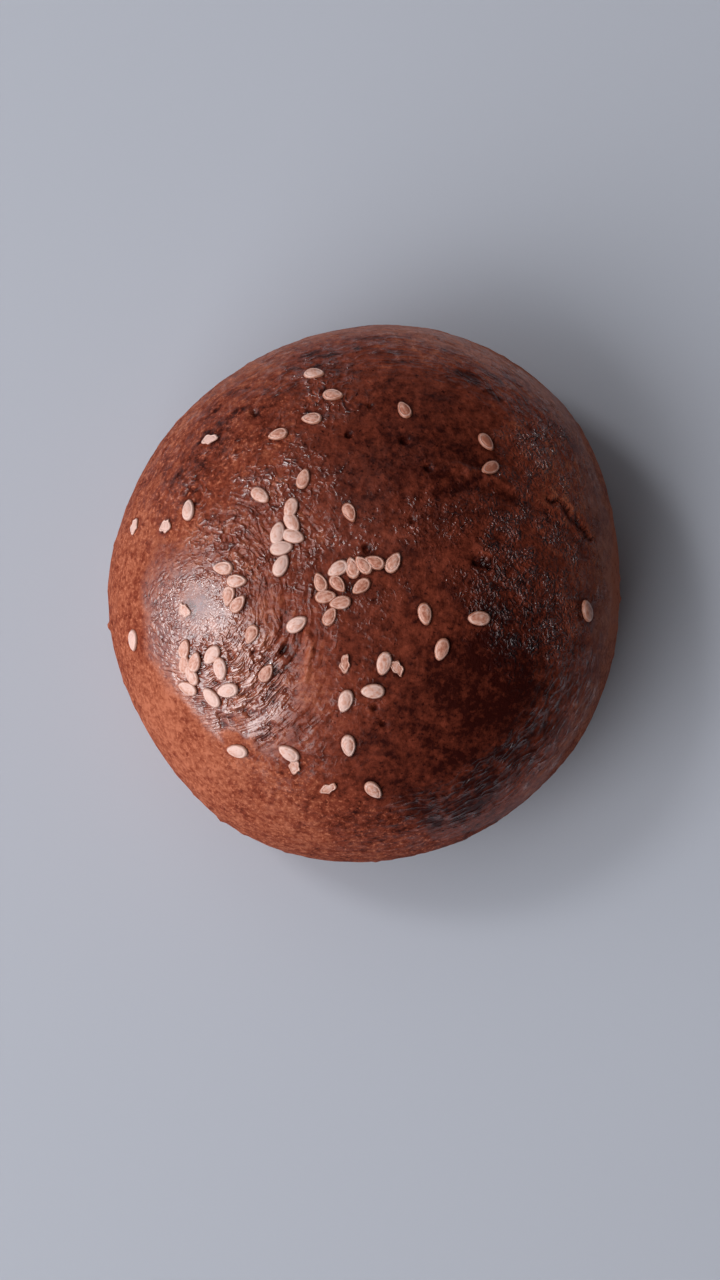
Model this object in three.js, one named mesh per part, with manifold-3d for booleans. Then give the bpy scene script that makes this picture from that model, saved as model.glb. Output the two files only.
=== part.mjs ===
// A small round sesame loaf: one egg-washed bun, baked whole, with sesame seeds stuck to its crust.
// Millimetres, +Z up. The origin is the middle of the footprint, on the surface that the loaf rests on.

import * as THREE from "three";
import { mergeVertices } from "three/addons/utils/BufferGeometryUtils.js";
import Module from "manifold-3d";

const wasm = await Module();
wasm.setup();

// Driving dimensions of the loaf
const meanRadius = 41;
const crownHeight = 43;
const widestLevel = 16;
const footShare = 0.8; // the flat base's radius, as a share of the widest outline
const shoulderPower = 2.15; // fullness of the dome's shoulder, where 2 is an ellipse

// Slow waves of the hand-shaped outline: how many lobes, how far they swell and where the first one points
const outlineWaves = [
  { lobes: 2, swell: 0.031, bearing: 71 },
  { lobes: 3, swell: 0.0095, bearing: 50 },
  { lobes: 4, swell: 0.0056, bearing: 63 },
  { lobes: 5, swell: 0.006, bearing: 35 },
  { lobes: 7, swell: 0.0032, bearing: -19 },
];

// Swells and dents of the crust: the middle in plan, the reach and the rise
const crustReliefs = [
  { middle: [-23, -8], reach: 10, rise: 1.0 },
  { middle: [-12.3, -11.5], reach: 4, rise: -0.7 },
  { middle: [-10.6, 5.7], reach: 5, rise: -0.6 },
  { middle: [26, 14], reach: 7, rise: -0.9 },
  { middle: [22, -2], reach: 8, rise: 0.5 },
  { middle: [-2, 30], reach: 8, rise: -0.5 },
];
const reliefFade = 8; // the relief fades out over this height above the base

// Facets of the loaf
const outlineSteps = 84;
const flankSteps = 8;
const domeSteps = 22;

// Sesame seeds: a whole one, and a broken flake of hull
const wholeSeed = { length: 3.4, width: 2.1, thickness: 1.05, sink: 0.38 };
const hullFlake = { length: 2.6, width: 1.9, thickness: 0.6, sink: 0.26 };
const seedTaper = 0.42; // how much narrower the tip is than the middle
const seedSides = 6;
const seedRings = 4;
const sizeSpread = 0.07; // seeds differ by this share of their size
const placeSpread = 0.15; // and lie this far off their run
const scatterWave = { seed: 12.9, channel: 4.1, start: 1.3 }; // radians from one draw to the next

// Runs of seeds in plan: each lies evenly from one place to the other, its tip turning from first to last
const seedRuns = [
  { from: [-8.5, 32.2], to: [-5.6, 28.5], count: 2, tips: [0, -5] },
  { from: [-8.8, 24.5], to: [-13.8, 21.9], count: 2, tips: [180, 195] },
  { from: [5.3, 25.7], to: [-2.9, 9.5], count: 2, tips: [115, -65] },
  { from: [17.8, 20.8], to: [18.5, 16.8], count: 2, tips: [-52, -152] },
  { from: [-9.7, 14.7], to: [-16.1, 12.3], count: 2, tips: [73, -36] },
  { from: [-11.6, 10.3], to: [-11.3, 6.2], count: 3, tips: [-107, -15] },
  { from: [-13.6, 6.7], to: [-13.0, 1.8], count: 2, tips: [77, 65] },
  { from: [-13.1, 4.5], to: [-10.7, -6.8], count: 2, tips: [10, 31] },
  { from: [-27.1, 10.8], to: [-35.5, -8.2], count: 2, tips: [90, -90] },
  { from: [-21.5, 1.6], to: [-19.4, -0.4], count: 2, tips: [175, 0] },
  { from: [-20.5, -2.6], to: [-19.0, -3.8], count: 2, tips: [-98, 49] },
  { from: [-17.2, -8.3], to: [-15.2, -14.1], count: 2, tips: [-115, 56] },
  { from: [-26.9, -10.1], to: [-26.9, -12.3], count: 2, tips: [70, 80] },
  { from: [-25.1, -12.0], to: [-26.5, -15.8], count: 3, tips: [70, 160] },
  { from: [-22.6, -11.0], to: [-21.5, -13.0], count: 2, tips: [-134, -85] },
  { from: [-23.0, -17.1], to: [-20.6, -16.1], count: 2, tips: [131, 190] },
  { from: [-11.9, -25.6], to: [-19.7, -25.1], count: 2, tips: [145, 172] },
  { from: [-4.7, 1.3], to: [3.5, 2.2], count: 2, tips: [-149, 60] },
  { from: [-2.6, 1.4], to: [0.7, 2.1], count: 3, tips: [103, 159] },
  { from: [-7.3, -0.9], to: [-5.8, -5.9], count: 2, tips: [112, 61] },
  { from: [-4.6, -1.2], to: [-1.1, -1.6], count: 2, tips: [-48, -141] },
  { from: [-6.3, -3.1], to: [-4.1, -4.0], count: 2, tips: [6, -170] },
  { from: [8.4, -5.6], to: [10.9, -10.7], count: 2, tips: [-80, -107] },
  { from: [16.3, -6.0], to: [33.0, -4.1], count: 2, tips: [180, 115] },
  { from: [2.3, -12.7], to: [0.6, -16.7], count: 2, tips: [-104, -180] },
  { from: [-3.5, -18.1], to: [-3.1, -24.6], count: 2, tips: [-108, -85] },
  { from: [0.6, -31.1], to: [0.6, -31.1], count: 1, tips: [-52, -52] },
];
const flakeRuns = [
  { from: [-24.2, 21.9], to: [-35.9, 9.2], count: 2, tips: [20, 100] },
  { from: [-30.7, 8.5], to: [-27.1, -4.4], count: 2, tips: [70, 105] },
  { from: [4.1, -13.5], to: [-3.6, -12.8], count: 2, tips: [-70, 80] },
  { from: [-6.0, -31.1], to: [-11.1, -27.8], count: 2, tips: [40, 120] },
];

const crustMaterial = new THREE.MeshStandardMaterial({
  color: 0x6e3022,
  roughness: 0.38,
  metalness: 0,
});

const { degToRad, lerp, smoothstep } = THREE.MathUtils;
const heart = new THREE.Vector3(0, 0, widestLevel);

// Radius of the widest outline at a bearing in radians
function outlineRadius(bearing) {
  let share = 1;
  for (const wave of outlineWaves) {
    share += wave.swell * Math.cos(wave.lobes * (bearing - degToRad(wave.bearing)));
  }
  return meanRadius * share;
}

// Half of the loaf's section, from the base's middle to the crown: shares of the outline against levels
function sectionProfile() {
  const points = [new THREE.Vector2(0, 0)];
  for (let step = 0; step < flankSteps; step += 1) {
    const angle = (step / flankSteps - 1) * Math.PI / 2;
    const share = footShare + (1 - footShare) * Math.cos(angle);
    points.push(new THREE.Vector2(share, widestLevel * (1 + Math.sin(angle))));
  }
  for (let step = 0; step < domeSteps; step += 1) {
    const angle = step / domeSteps * Math.PI / 2;
    const share = Math.cos(angle) ** (2 / shoulderPower);
    points.push(new THREE.Vector2(share, lerp(widestLevel, crownHeight, Math.sin(angle))));
  }
  points.push(new THREE.Vector2(0, crownHeight));
  return points;
}

// Moves a point of the smooth form out or in by the swells and dents that reach it
function withRelief(point) {
  let rise = 0;
  for (const relief of crustReliefs) {
    const distance = Math.hypot(point.x - relief.middle[0], point.y - relief.middle[1]);
    rise += relief.rise * Math.exp(-0.5 * (distance / relief.reach) ** 2);
  }
  rise *= smoothstep(point.z, 0, reliefFade);
  const outward = point.clone().sub(heart).normalize();
  return point.addScaledVector(outward, rise);
}

// Point of the dome above a place in plan
function domePoint(x, y) {
  const share = Math.hypot(x, y) / outlineRadius(Math.atan2(y, x));
  const level = Math.sqrt(1 - share ** shoulderPower);
  return withRelief(new THREE.Vector3(x, y, lerp(widestLevel, crownHeight, level)));
}

function loafGeometry() {
  const geometry = new THREE.LatheGeometry(sectionProfile(), outlineSteps).rotateX(Math.PI / 2);
  const corners = geometry.attributes.position;
  const corner = new THREE.Vector3();
  for (let index = 0; index < corners.count; index += 1) {
    corner.fromBufferAttribute(corners, index);
    const radius = outlineRadius(Math.atan2(corner.y, corner.x));
    withRelief(corner.set(corner.x * radius, corner.y * radius, corner.z));
    corners.setXYZ(index, corner.x, corner.y, corner.z);
  }
  return geometry;
}

// A flat teardrop lying along Y, with its tip at +Y
function seedGeometry(seed, scale) {
  const geometry = new THREE.SphereGeometry(0.5, seedSides, seedRings);
  const corners = geometry.attributes.position;
  for (let index = 0; index < corners.count; index += 1) {
    const along = corners.getY(index);
    const across = corners.getX(index) * (1 - seedTaper * along);
    const up = corners.getZ(index);
    corners.setXYZ(index, across * seed.width, along * seed.length, up * seed.thickness);
  }
  return geometry.scale(scale, scale, scale);
}

// Lays a seed on the crust at a place in plan, its tip at a bearing in degrees
function placedSeed(seed, scale, x, y, tip) {
  const reach = seed.length / 4;
  const place = domePoint(x, y);
  const eastward = domePoint(x + reach, y).sub(domePoint(x - reach, y));
  const northward = domePoint(x, y + reach).sub(domePoint(x, y - reach));
  const normal = eastward.clone().cross(northward).normalize();
  const aim = eastward.normalize().multiplyScalar(Math.cos(degToRad(tip)));
  aim.addScaledVector(northward.normalize(), Math.sin(degToRad(tip)));
  const side = aim.clone().cross(normal).normalize();
  const forward = normal.clone().cross(side);
  place.addScaledVector(normal, seed.thickness * scale / 2 - seed.sink);
  const placing = new THREE.Matrix4().makeBasis(side, forward, normal).setPosition(place);
  return seedGeometry(seed, scale).applyMatrix4(placing);
}

// A repeatable scatter between -1 and 1 for one seed's place or size
function scatter(index, channel) {
  return Math.sin(scatterWave.seed * index + scatterWave.channel * channel + scatterWave.start);
}

// Every seed of the runs, the first of them counted as firstIndex
function seedsOfRuns(runs, seed, firstIndex) {
  const seeds = [];
  for (const run of runs) {
    for (let step = 0; step < run.count; step += 1) {
      const index = firstIndex + seeds.length;
      const share = run.count > 1 ? step / (run.count - 1) : 0;
      const x = lerp(run.from[0], run.to[0], share) + placeSpread * scatter(index, 0);
      const y = lerp(run.from[1], run.to[1], share) + placeSpread * scatter(index, 1);
      const scale = 1 + sizeSpread * scatter(index, 2);
      seeds.push(placedSeed(seed, scale, x, y, lerp(run.tips[0], run.tips[1], share)));
    }
  }
  return seeds;
}

// A closed solid from a geometry, without the empty triangles at the poles
function solidOf(geometry) {
  geometry.deleteAttribute("normal");
  geometry.deleteAttribute("uv");
  const merged = mergeVertices(geometry);
  const corners = merged.index.array;
  const kept = [];
  for (let index = 0; index < corners.length; index += 3) {
    const [first, second, third] = corners.slice(index, index + 3);
    if (first !== second && second !== third && third !== first) {
      kept.push(first, second, third);
    }
  }
  const mesh = new wasm.Mesh({
    numProp: 3,
    vertProperties: new Float32Array(merged.attributes.position.array),
    triVerts: new Uint32Array(kept),
  });
  return new wasm.Manifold(mesh);
}

// The largest body of a solid: a loose scrap is dropped and a sealed hollow filled
function largestBody(solid) {
  const bodies = solid.decompose();
  bodies.sort((one, other) => other.volume() - one.volume());
  return bodies[0];
}

function geometryOf(solid) {
  const mesh = solid.getMesh();
  const geometry = new THREE.BufferGeometry();
  geometry.setAttribute("position", new THREE.BufferAttribute(mesh.vertProperties, 3));
  geometry.setIndex(new THREE.BufferAttribute(mesh.triVerts, 1));
  geometry.computeVertexNormals();
  return geometry;
}

function loafMesh() {
  const bare = loafGeometry();
  bare.computeBoundingBox();
  const middle = bare.boundingBox.getCenter(new THREE.Vector3());
  const wholeSeeds = seedsOfRuns(seedRuns, wholeSeed, 0);
  const flakes = seedsOfRuns(flakeRuns, hullFlake, wholeSeeds.length);
  let solid = solidOf(bare);
  for (const seed of [...wholeSeeds, ...flakes]) {
    solid = solid.add(solidOf(seed));
  }
  const geometry = geometryOf(largestBody(solid)).translate(-middle.x, -middle.y, 0);
  const mesh = new THREE.Mesh(geometry, crustMaterial);
  mesh.name = "loaf";
  return mesh;
}

const group = new THREE.Group();
group.add(loafMesh());

export default group;
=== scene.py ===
# The looks of a small round sesame loaf: a wrinkled, egg-washed crust and the sesame seeds baked on to it.
# The loaf's own sizes and places are in millimetres, about the middle of its outline, and +Z is up.

import math

import bmesh
import bpy
import numpy as np
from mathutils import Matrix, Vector, noise


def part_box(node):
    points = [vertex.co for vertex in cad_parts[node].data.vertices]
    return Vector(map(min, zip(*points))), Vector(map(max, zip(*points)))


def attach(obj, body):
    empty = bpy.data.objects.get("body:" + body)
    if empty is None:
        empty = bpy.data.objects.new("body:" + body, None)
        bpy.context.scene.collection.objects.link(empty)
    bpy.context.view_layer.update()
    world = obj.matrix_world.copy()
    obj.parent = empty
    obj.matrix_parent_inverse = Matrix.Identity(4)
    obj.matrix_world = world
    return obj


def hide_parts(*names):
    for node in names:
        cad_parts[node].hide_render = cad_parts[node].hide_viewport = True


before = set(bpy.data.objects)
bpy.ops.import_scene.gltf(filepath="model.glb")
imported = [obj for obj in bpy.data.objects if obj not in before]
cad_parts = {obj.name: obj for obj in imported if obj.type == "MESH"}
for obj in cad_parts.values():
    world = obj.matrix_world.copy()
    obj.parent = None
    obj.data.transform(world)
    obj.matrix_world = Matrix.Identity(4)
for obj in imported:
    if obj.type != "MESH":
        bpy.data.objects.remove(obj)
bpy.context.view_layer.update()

MM = 0.001

# Form of the loaf
MEAN_RADIUS = 41
CROWN_HEIGHT = 43
WIDEST_LEVEL = 16
FOOT_SHARE = 0.8  # the flat base's radius, as a share of the widest outline
SHOULDER_POWER = 2.15  # fullness of the dome's shoulder, where 2 is an ellipse

# Slow waves of the outline: lobes, swell and the bearing of the first lobe
OUTLINE_WAVES = [(2, 0.031, 71), (3, 0.0095, 50), (4, 0.0056, 63), (5, 0.006, 35), (7, 0.0032, -19)]

# Swells and dents of the crust: the middle in plan, the reach and the rise
CRUST_RELIEFS = [
    ((-23, -8), 10, 1.0),
    ((-12.3, -11.5), 4, -0.7),
    ((-10.6, 5.7), 5, -0.6),
    ((26, 14), 7, -0.9),
    ((22, -2), 8, 0.5),
    ((-2, 30), 8, -0.5),
]
RELIEF_FADE = 8  # the relief fades out over this height above the base

# Pits of the crust: the middle in plan, the radius and the depth
PITS = [
    ((-17.3, 25.7), 0.55, 0.6),
    ((-21.1, 23.3), 0.4, 0.4),
    ((-3.0, 21.6), 0.55, 0.6),
    ((5.4, 20.6), 0.65, 0.7),
    ((0.3, 26.3), 0.45, 0.5),
    ((8.9, 16.5), 0.5, 0.5),
    ((0.9, -19.3), 0.5, 0.5),
    ((2.1, -21.7), 0.45, 0.4),
    ((6.5, 8.4), 0.5, 0.4),
    ((-0.3, 4.2), 0.6, 0.4),
]
# painted shade: how much darker the pits are drawn
PIT_PAINTED_SHADE = 0.45
PIT_DULL_REACH = 1.6  # the dull ring round a pit, as a share of its radius

# Creases and ridges of the crust: their line in plan, the width and the rise
CREASES = [
    ([(10.4, 12.5), (14.1, 13.7), (18.0, 13.3), (24.2, 11.5), (30.8, 7.9), (33.6, 3.9)], 0.7, -0.2),
    ([(27.0, 12.6), (28.9, 12.0), (30.6, 10.3), (32.4, 8.4), (34.0, 6.9)], 0.35, -0.55),
    ([(28.0, 13.6), (29.8, 12.8), (31.6, 11.0), (33.2, 9.2)], 0.7, 0.15),
    ([(15.9, 2.6), (18.2, 1.7)], 0.55, -0.7),
    ([(16.3, 4.1), (18.6, 3.0)], 0.8, 0.25),
    ([(12.0, 16.6), (15.0, 16.4), (19.0, 14.9), (22.0, 13.4)], 0.5, 0.28),
    ([(-12.6, -10.4), (-11.4, -12.2), (-11.9, -13.4)], 0.9, -0.4),
    ([(-9.1, -8.5), (-8.7, -12.0), (-9.6, -15.2)], 0.6, 0.3),
]
# painted shade: how much darker the creases are drawn
CREASE_PAINTED_SHADE = 0.8  # for each millimetre of depth
RIDGE_PALING = 0.5  # for each millimetre of rise
LINE_WANDER = 0.8  # how far creases and ridges stray from their lines

# Nubs on the outline: the bearing and the rise
NUBS = [(187.5, 0.6), (237, 0.4), (3, 0.3), (-1.5, 0.3)]
NUB_RADIUS = 0.6

# Where the wash has dried to fine wrinkles: the middle in plan, the reach and the strength
WRINKLED_PATCHES = [
    ((-27, -5), 6, 1.2),
    ((-23, -16), 5, 1.3),
    ((-19, -14), 4, 1.0),
    ((-18, -20), 4, 0.9),
    ((-16, 7), 6, 0.16),
]
LEAST_WRINKLES = 0.05  # on the rest of the washed crust
LOBE_MIDDLE = (-25.3, -3.8)  # the wrinkles of the left lobe run round this place
LOBE_SMOOTH_REACH = 3.5  # and they are fainter this near to it

# Where those wrinkles are coarser
SCALY_PATCHES = [
    ((-18, -19), 6, 1.2),
    ((-13, -8), 4, 0.7),
    ((-17, 6), 6, 0.45),
]

# Where the wash has dried to fine sharp wrinkles
SPARKLING_PATCHES = [
    ((26, 3), 6, 1.5),
    ((24, -6), 5, 1.0),
    ((25.8, 19.9), 4, 1.3),
    ((9, 11), 4, 0.35),
    ((1, -1), 5, 0.15),
]

# Where the wash has dried to separate small folds
GLINTING_PATCHES = [
    ((-12, 18), 6, 0.8),
    ((-23, 15), 5, 0.9),
    ((-6, 29), 4, 0.8),
    ((-14, 4), 6, 0.9),
    ((-20, 8), 5, 0.9),
    ((-26, 9), 4, 0.7),
    ((-5, -10), 6, 0.25),
    ((-3, -20), 5, 0.2),
    ((-13, -26), 6, 0.4),
    ((-1, 3), 5, 0.15),
    ((9, 11), 4, 0.3),
    ((8, -8), 5, 0.1),
]

# Where the smooth crown keeps a thin gloss
WASHED_PATCHES = [
    ((0, 8), 12, 1.0),
    ((22, 18), 10, 0.45),
    ((17, 34), 7, 1.4),
]

# Where the crust has taken the wash up and lies matte, above the unwashed band
MATTE_PATCHES = [
    ((-30, 14), 6, 0.9),
    ((-24, 21), 6, 0.8),
    ((-14, 27), 6, 0.5),
    ((-22, -27), 5, 0.8),
    ((-8, -32), 6, 0.6),
]
MATTE_STEP = (0.3, 0.7)  # strengths at which it begins to be matte and is all matte

# Gloss of the wash
SKIN_GLOSS = 0.02  # all over the washed crust
THIN_GLOSS = 0.28  # added where the crown keeps a thin gloss
CORE_GLOSS = 0.3  # added in the middle of the left lobe, as a share
RUN_GLOSS = 0.2  # added where the wash has run down to the outline
WASH_FALL = 1.5  # how fast the gloss falls with the strength of the wrinkled patches
DRY_FADING = 0.6  # how much fainter the sharp wrinkles and small folds are on dull crust

# Where the crust is darker, or paler: the middle in plan, the reach and the change
TONE_PATCHES = [
    ((21, -14), 8, 0.42),
    ((10, -33), 8, 0.19),
    ((37, 8), 12, -0.18),
    ((-2, 25), 8, 0.05),
    ((27, 18), 9, -0.12),
    ((-19, -18), 8, -0.46),
    ((-26, -1), 8, -0.28),
    ((-20, -9), 5, -0.12),
    ((-16, 8), 6, -0.12),
    ((-4, -15), 6, -0.1),
    ((-13, 33), 5, -0.08),
    ((-9, -33), 8, 0.12),
    ((-16, 12), 7, -0.08),
    ((-18, 16), 7, -0.04),
    ((-4, -38), 6, 0.1),
    ((17, 35), 6, -0.4),
    ((-25, -1.5), 3.5, 0.2),
    ((20, 8), 9, 0.1),
    ((15, 24), 8, 0.08),
    ((26, 2), 5, 0.14),
    ((12, 27), 7, 0.19),
    ((-9, 9), 6, 0.08),
    ((-4, -8), 5, 0.1),
    ((17, -36), 4, 0.23),
    ((-8, -28), 6, 0.08),
    ((30, -8), 6, -0.12),
    ((40, -2), 5, -0.3),
    ((38, 6), 4, -0.18),
    ((30, 4), 7, -0.06),
    ((-25, 15), 5, 0.14),
    ((-25, -22), 4, 0.15),
    ((-15, -28), 5, 0.08),
    ((3, 16), 6, 0.12),
    ((16, 12), 5, 0.1),
    ((31, 33), 6, -0.15),
    ((31, -18), 5, -0.2),
    ((3, -36), 4, 0.08),
    ((-11, -36), 5, -0.18),
    ((27, 20), 4, -0.1),
    ((6, 40), 6, -0.2),
    ((5, -17), 6, 0.1),
    ((-39, -6), 5, 0.1),
    ((-32, -18), 5, -0.1),
]

# How dark the crust is baked, from 0 to 1, before those patches
BROWNING = 0.63
DARK_BEARING = -35  # towards the side that is baked darker
DARK_SIDE_BROWNING = 0.05  # at one radius that way
FLANK_PALING = 0.25
RIM_PALING = 0.35
RIM_PALE_INSETS = (5, 1)  # from the outline, where the rim begins to be paler and is at its palest
STREAK_BROWNING = 0.35
STREAK_WAVE = (2.4, 4.9)  # wavelength and offset of the noise that draws the rim's dark streaks
STREAK_STEP = (0.1, 0.5)  # values of that noise where a streak begins and is full
STREAK_SIDE = (0, 15)  # along Y, where the streaks begin and are all there

# How strongly the shoulder is wrinkled along the outline, against the bearing
RIM_BEARINGS = [-180, -140, -100, -80, -30, -10, 15, 45, 80, 120, 150, 165, 180]
RIM_STRENGTHS = [0.05, 0.05, 0.3, 0.9, 1, 0.25, 0.2, 0.9, 0.9, 1, 0.8, 0.3, 0.05]
RIM_INSETS = (12, 7)  # where its wrinkles begin and are full
RIM_DROPS = (12, 4)  # below the widest level, where they end and are still full
RIM_EDGE = (-0.5, 2)  # insets where its folds and lines begin and are full
RIM_DRY_FADING = 0.5  # how much fainter they are on dull crust
GLOSSY_RIMS = [(-60, 25), (50, 20), (90, 25)]  # bearing and reach, in degrees, of its glossier stretches
GLOSSY_RIM_INSETS = (6, 2.4)  # where that gloss begins and is full

# Width in plan of the unwashed band along the outline, against the bearing
BARE_BEARINGS = [
    -180, -157, -146, -134, -125, -112, -100, -85, -75, -60, -20, 10, 60, 100, 130, 155, 168, 180,
]
BARE_WIDTHS = [5.2, 6.2, 7.7, 9.2, 11, 13, 12, 8, 1.5, 0, 1.2, 1.4, 1, 0.3, 0.8, 5, 7.3, 5.2]
DULL_EDGE = (1.15, 0.85)  # shares of that width where the band begins to be dull and is all dull
PALE_EDGE = (2.2, 0.3)  # and where it begins to be pale and is palest
LEAST_EDGE = 0.1  # so that an edge has some width where the band has none
RAGGED_WIDTH = 1.5  # a band this wide or wider has a fully ragged edge
FLANK_FADE = 3  # above and below the widest level, where the unwashed flank takes over

# Uneven edges, bumps and tones: wavelength, offset and height of the noises that are added up for each
BARE_EDGE = [(7, 3.1, 1.6), (2.5, 8.7, 0.8)]
MATTE_EDGE = [(5, 2.2, 0.35), (1.8, 6.1, 0.3)]
LINE_WARP = [(5, 1.1, 0.7), (2, 2.3, 0.3)]
WANDER_ALONG_X = [(1.6, 2.8, LINE_WANDER)]
WANDER_ALONG_Y = [(1.6, 8.1, LINE_WANDER)]
BROKEN_LINE = [(1.2, 3.3, 0.5)]
CRUST_BUMPS = [(9, 5.5, 0.14), (4, 1.2, 0.06), (1.2, 6.8, 0.05)]
RIM_BUMPS = [(1.3, 5.8, 0.1)]
# painted contact shadow round the seeds, made uneven by this noise
SEED_CONTACT_SHADE_BUMPS = [(1.8, 7.2, 0.8)]
BAKED_CLOUDS = [(8, 6.6, 0.1), (2.4, 0.4, 0.05)]

# Shares that differ from place to place: the noises, the least share, and the sums where it begins and is 1
SMOOTH_ISLANDS = ([(4.5, 3.7, 1), (2, 5.3, 0.5)], 0.5, -0.5, 0.0)
GLOSSY_CLUMPS = ([(5, 4.4, 1), (2, 0.9, 0.7)], 0.3, -0.4, 0.3)

# Relief of the wrinkles: the mask, the places that the folds run over, wavelength, offset and rise
WRINKLE_FOLDS = [
    ("wrinkle", "lobe", 2.6, 7.7, 0.06),
    ("scaly", "lobe", 2.2, 5.1, 0.12),
    ("rim", "brush", 2.1, 2.4, 0.07),
]
WRINKLE_BUMPS = [("wrinkle", [(1.4, 4.2, 0.05)]), ("sparkle", [(1.3, 1.9, 0.06)])]
RELIEF_LEVELS = (4, 14)  # heights where the fine relief begins and is full
RIM_BUMP_INSETS = (3, 1)  # where the rim's own bumps begin and are full

# Grains of the unwashed crust
GRAIN_WAVE = (1.9, 9.9)  # wavelength and offset
GRAIN_RISE = 0.05
LUMP_RISE = 0.1  # added for the largest grains
LUMP_STEP = (0.35, 0.7)  # values of the noise where that begins and is full
GRAIN_FADE = 3  # they fade out over this height above the base

# Lines round the outline and round the left lobe: radius of the ring that their noise places run round,
# and how far apart those places are for each millimetre across the lines
BRUSH_RING = 15
BRUSH_STEP = 1.5
LOBE_RING = 6
LOBE_STEP = 1.6

# Sesame seeds: a whole one, and a broken flake of hull
WHOLE_SEED = {"length": 3.4, "width": 2.1, "thickness": 1.05, "sink": 0.38}
HULL_FLAKE = {"length": 2.6, "width": 1.9, "thickness": 0.6, "sink": 0.26}
SIZE_SPREAD = 0.07  # as a share
PLACE_SPREAD = 0.15

# Scatter of the seeds: radians from one seed to the next, from one channel to the next, and at first
SCATTER_WAVE = (12.9, 4.1, 1.3)
ALONG_X, ALONG_Y, SIZE, RIM, BEND, TINT, TAPER = range(7)  # the channels

# Runs of seeds in plan: from one place to another, how many, and the bearings of the first and last tip
SEED_RUNS = [
    ((-8.5, 32.2), (-5.6, 28.5), 2, (0, -5)),
    ((-8.8, 24.5), (-13.8, 21.9), 2, (180, 195)),
    ((5.3, 25.7), (-2.9, 9.5), 2, (115, -65)),
    ((17.8, 20.8), (18.5, 16.8), 2, (-52, -152)),
    ((-9.7, 14.7), (-16.1, 12.3), 2, (73, -36)),
    ((-11.6, 10.3), (-11.3, 6.2), 3, (-107, -15)),
    ((-13.6, 6.7), (-13.0, 1.8), 2, (77, 65)),
    ((-13.1, 4.5), (-10.7, -6.8), 2, (10, 31)),
    ((-27.1, 10.8), (-35.5, -8.2), 2, (90, -90)),
    ((-21.5, 1.6), (-19.4, -0.4), 2, (175, 0)),
    ((-20.5, -2.6), (-19.0, -3.8), 2, (-98, 49)),
    ((-17.2, -8.3), (-15.2, -14.1), 2, (-115, 56)),
    ((-26.9, -10.1), (-26.9, -12.3), 2, (70, 80)),
    ((-25.1, -12.0), (-26.5, -15.8), 3, (70, 160)),
    ((-22.6, -11.0), (-21.5, -13.0), 2, (-134, -85)),
    ((-23.0, -17.1), (-20.6, -16.1), 2, (131, 190)),
    ((-11.9, -25.6), (-19.7, -25.1), 2, (145, 172)),
    ((-4.7, 1.3), (3.5, 2.2), 2, (-149, 60)),
    ((-2.6, 1.4), (0.7, 2.1), 3, (103, 159)),
    ((-7.3, -0.9), (-5.8, -5.9), 2, (112, 61)),
    ((-4.6, -1.2), (-1.1, -1.6), 2, (-48, -141)),
    ((-6.3, -3.1), (-4.1, -4.0), 2, (6, -170)),
    ((8.4, -5.6), (10.9, -10.7), 2, (-80, -107)),
    ((16.3, -6.0), (33.0, -4.1), 2, (180, 115)),
    ((2.3, -12.7), (0.6, -16.7), 2, (-104, -180)),
    ((-3.5, -18.1), (-3.1, -24.6), 2, (-108, -85)),
    ((0.6, -31.1), (0.6, -31.1), 1, (-52, -52)),
]
FLAKE_RUNS = [
    ((-24.2, 21.9), (-35.9, 9.2), 2, (20, 100)),
    ((-30.7, 8.5), (-27.1, -4.4), 2, (70, 105)),
    ((4.1, -13.5), (-3.6, -12.8), 2, (-70, 80)),
    ((-6.0, -31.1), (-11.1, -27.8), 2, (40, 120)),
]

# Shape of a seed
SEED_TAPER = 0.16
TAPER_SPREAD = 0.07
TIP_PINCH = 0.6  # further taper towards the tip, as a share
FACE_SHARE = 0.45  # rise of the face's middle, as a share of the thickness
FACE_POWERS = (2.6, 0.55)  # of the way to the edge, and of what is left of it
SEED_RIM_RISE = 0.06
SEED_RIM_PLACE = (0.81, 0.06)  # way to the edge, and width
SEED_GROOVE_PLACE = (0.67, 0.07)
SEED_RIM_MEAN = 0.8  # of a seed's own share of that rise
SEED_RIM_SPREAD = 0.4
SEED_BEND = 0.06
FLAKE_CURL = 0.12
FLAKE_WAVES = [(2, 1, 0.2), (5, 2.3, 0.12)]  # waves round a flake's edge, turn between flakes and height
OVERLAP_REACH = 0.55  # a seed this near to an earlier one lies on it, as a share of the length
OVERLAP_LIFT = 0.3

# The painted contact shadow round a seed: crust darkened as shade where it meets the seed
SEED_CONTACT_SHADE_REACH = 1.4  # as a share of the seed's own half sizes
SEED_CONTACT_SHADE_DARKENING = 0.22
SEED_CONTACT_SHADE_MEAN = 0.6
SEED_CONTACT_SHADE_FADE = 2  # above and below the widest level, where the halos end

# Tint of a seed, from browned to pale, and the streaks in it
SEED_TINT = 0.48
TINT_SPREAD = 0.35
FLAKE_TINT = 0.3
# painted shade: seeds on the shaded right side are darkened by this much at one radius to the right
RIGHT_SIDE_SEED_SHADE = -0.55  # at one radius to the right
SEED_STREAK_SCALES = (2.4, 1.3, 1.3)  # across the seed, along it and through it
SEED_STREAK_STEP = 7  # from one seed's streaks to the next one's

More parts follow.
